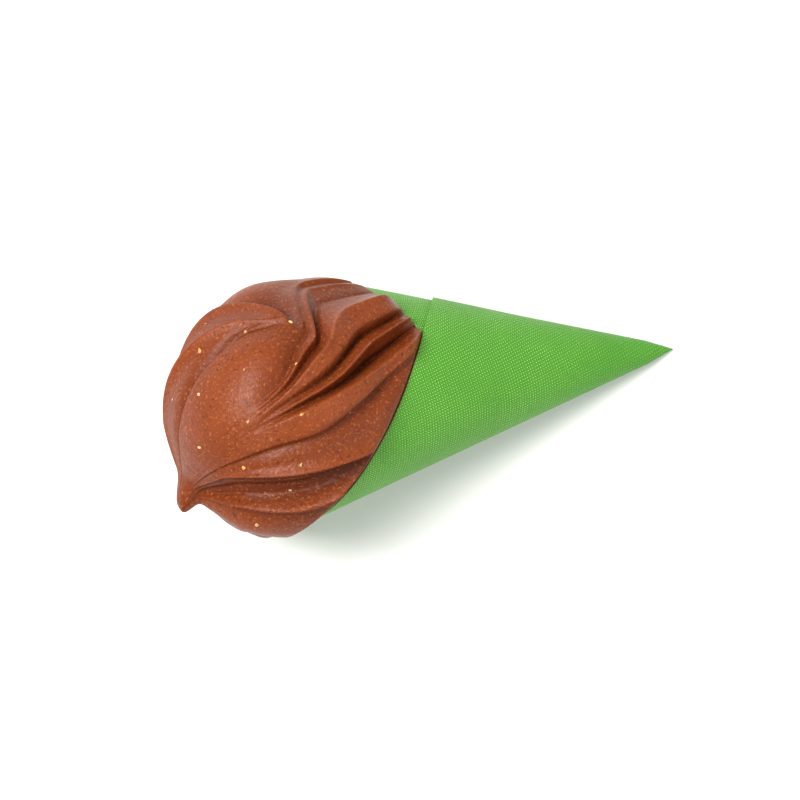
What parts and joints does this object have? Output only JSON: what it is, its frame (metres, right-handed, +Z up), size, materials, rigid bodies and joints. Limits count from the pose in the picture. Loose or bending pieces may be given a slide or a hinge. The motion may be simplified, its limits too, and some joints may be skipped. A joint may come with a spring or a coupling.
{
  "type": "piping bag praline cornet",
  "caption": "Small rolled paper cone filled with piped hazelnut chocolate cream that ends in a fluted rosette with a bent tail; the lap peels open and the filling pulls out.",
  "frame": {"origin": "under the middle of the bounding box, on the surface that the cornet lies on", "axes": "+Z up; the cone's point towards +X, with its axis in a plane of constant Y, rising 16.5 degrees towards -X; the lap's free edge on the +Y side"},
  "size_m": [0.0758, 0.0366, 0.0365],
  "materials": {
    "green_paper": "satin",
    "adhesive": "satin",
    "cream": "satin",
    "hazelnut": "satin"
  },
  "bodies": {
    "wrapper": {"paper_cone": "green_paper", "adhesive_strip": "adhesive"},
    "lap": {"paper_lap": "green_paper"},
    "confection": {"cream_filling": "cream", "cream_rosette": "cream", "hazelnut_crumbs": "hazelnut"}
  },
  "joints": [
    {"name": "confection_slide", "type": "slide", "parent": "wrapper", "child": "confection", "axis": [-0.959, 0, 0.2833], "range_m": [0, 0.068]},
    {"name": "lap_peel", "type": "hinge", "parent": "wrapper", "child": "lap", "pos_m": [0.02986, 0.00292, 0.00558], "axis": [0.8463, -0.1454, -0.5125], "range_deg": [0, 100]}
  ]
}
